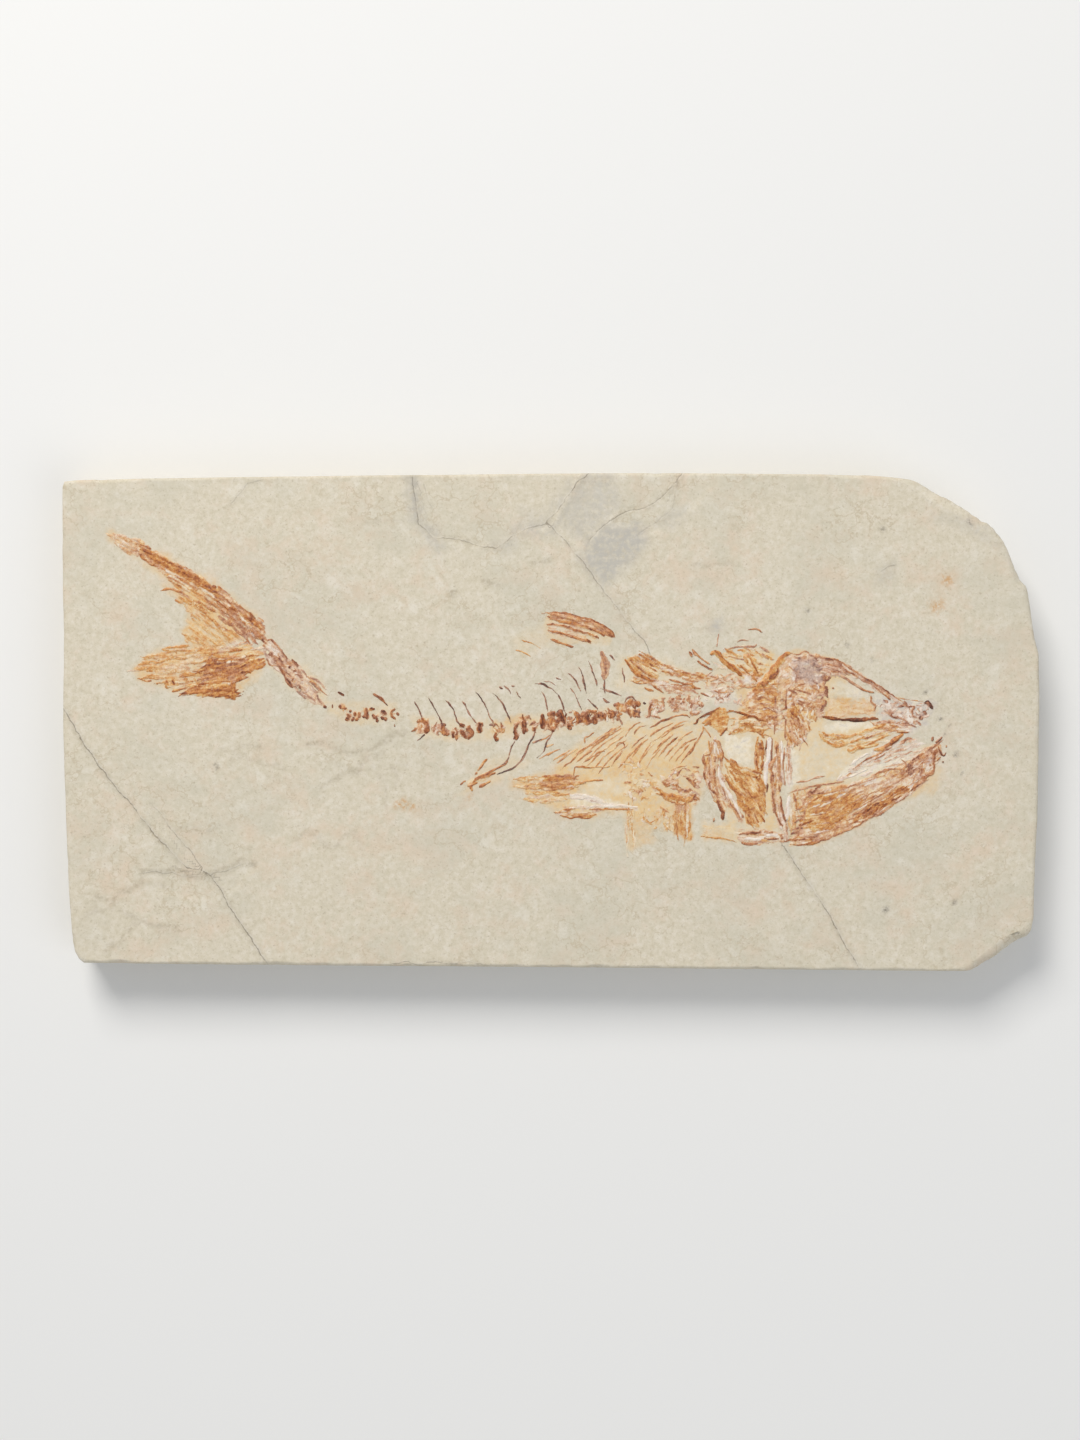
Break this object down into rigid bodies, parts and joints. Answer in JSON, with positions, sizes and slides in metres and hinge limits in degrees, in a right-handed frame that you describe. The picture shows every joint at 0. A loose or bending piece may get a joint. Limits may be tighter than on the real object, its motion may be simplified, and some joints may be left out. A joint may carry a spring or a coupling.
{
  "type": "fossil fish slab",
  "caption": "Flat limestone plate with two broken corners, holding a flattened fossil fish whose bones stand slightly proud of the upper face.",
  "frame": {"origin": "centre of the slab's underside, on the surface that it lies on", "axes": "+X from the tail to the snout, +Y from the belly to the back, +Z out of the fossil face"},
  "size_m": [0.1999, 0.102, 0.0129],
  "materials": {
    "limestone": "matt, fine grained, with faint grey and pinkish mottling",
    "orange_bone": "satin mineralised bone, iron stained orange",
    "brown_bone": "satin mineralised bone, brown",
    "dark_bone": "satin mineralised bone, dark red-brown",
    "pale_bone": "matt mineralised bone, bleached pale"
  },
  "bodies": {
    "root": {"slab": "limestone", "tail_fin": "orange_bone", "tail_stem": "pale_bone", "tail_vertebra_1": "dark_bone", "tail_vertebra_2": "dark_bone", "tail_vertebra_3": "dark_bone", "tail_vertebra_4": "dark_bone", "tail_vertebra_5": "dark_bone", "tail_vertebra_6": "dark_bone", "tail_vertebra_7": "dark_bone", "vertebra_1": "dark_bone", "vertebra_2": "dark_bone", "vertebra_3": "dark_bone", "vertebra_4": "dark_bone", "vertebra_5": "dark_bone", "vertebra_6": "dark_bone", "vertebra_7": "dark_bone", "vertebra_8": "dark_bone", "vertebra_9": "dark_bone", "vertebra_10": "dark_bone", "vertebra_11": "dark_bone", "vertebra_12": "dark_bone", "vertebra_13": "dark_bone", "vertebra_14": "dark_bone", "vertebra_15": "dark_bone", "vertebra_16": "dark_bone", "vertebra_17": "dark_bone", "vertebra_18": "dark_bone", "vertebra_19": "dark_bone", "vertebra_20": "dark_bone", "neck_vertebra_1": "brown_bone", "neck_vertebra_2": "brown_bone", "neck_vertebra_3": "brown_bone", "dorsal_fin": "orange_bone", "anal_fin": "orange_bone", "nape_bone_1": "orange_bone", "nape_bone_2": "orange_bone", "nape_bone_3": "brown_bone", "nape_bone_4": "orange_bone", "nape_bone_5": "orange_bone", "nape_bone_6": "brown_bone", "rib_1": "brown_bone", "rib_2": "brown_bone", "rib_3": "brown_bone", "rib_4": "brown_bone", "rib_5": "brown_bone", "rib_6": "brown_bone", "rib_7": "brown_bone", "shoulder_bone": "brown_bone", "gill_cover_rim": "orange_bone", "gill_cover": "orange_bone", "white_strut": "pale_bone", "cheek_bone": "brown_bone", "skull": "brown_bone", "upper_jaw": "orange_bone", "snout_bone": "brown_bone", "lower_jaw": "orange_bone", "throat_bone": "brown_bone", "pectoral_fin": "orange_bone", "pelvic_bone": "orange_bone"}
  },
  "joints": []
}
